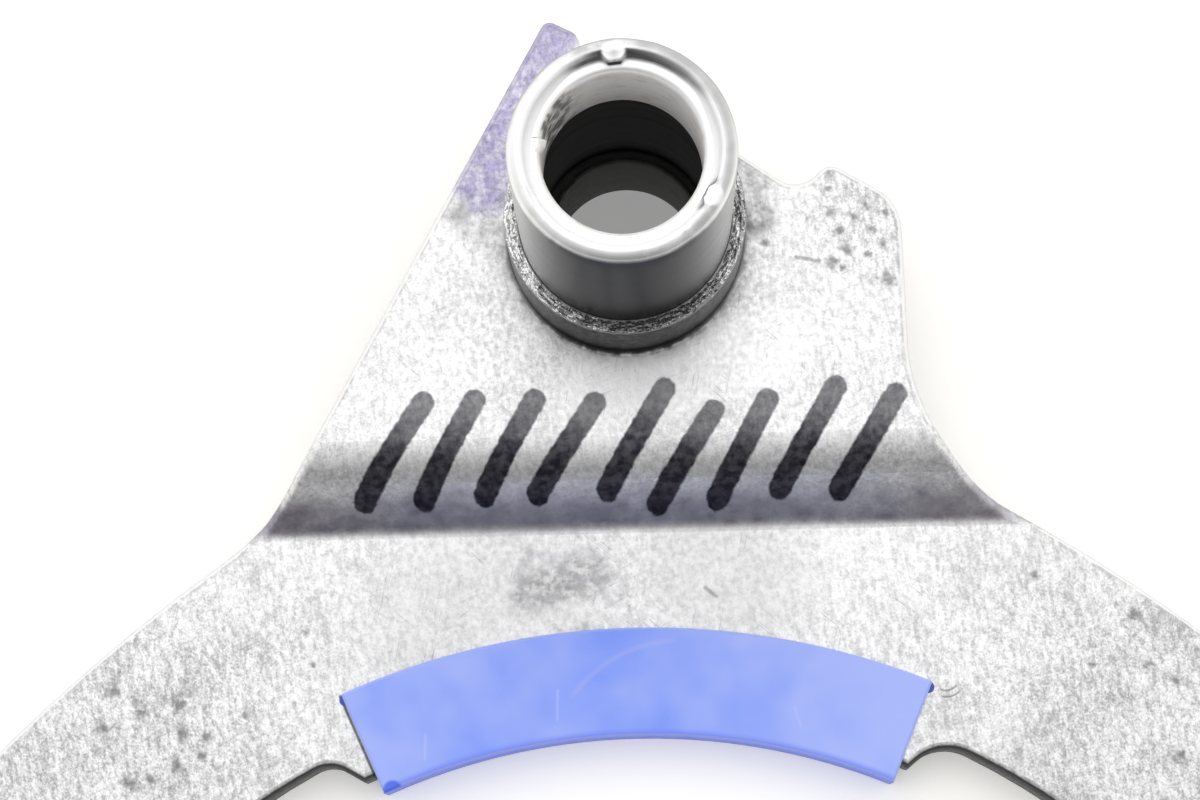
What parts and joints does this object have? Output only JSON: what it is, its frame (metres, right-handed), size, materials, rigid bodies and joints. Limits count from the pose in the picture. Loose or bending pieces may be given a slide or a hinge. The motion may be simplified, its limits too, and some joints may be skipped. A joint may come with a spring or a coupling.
{
  "type": "transmission shift fork",
  "caption": "Stamped steel shift fork: a tubular hub slides on the rail, a joggled plate carries curved arms, and nylon pads bear in the groove of the shift sleeve.",
  "frame": {"origin": "on the axis of the rail bore, at the rear end of the hub, which is level with the back faces of the pads", "axes": "+Z along the rail axis to the near end of the hub, +Y from the fork's mouth to the hub, +X to the right across the arms"},
  "size_m": [0.1704, 0.1488, 0.048],
  "materials": {
    "plate_steel": "matt, as rolled, mottled and slightly pitted",
    "hub_steel": "turned, satin",
    "bush_steel": "wrapped strip, smooth",
    "pad_nylon": "moulded nylon, light blue"
  },
  "bodies": {
    "root": {"fork_plate": "plate_steel", "hub_tube": "hub_steel", "front_rail_bush": "bush_steel", "rear_rail_bush": "bush_steel", "centre_pad": "pad_nylon", "left_tip_pad": "pad_nylon", "right_tip_pad": "pad_nylon"}
  },
  "joints": []
}
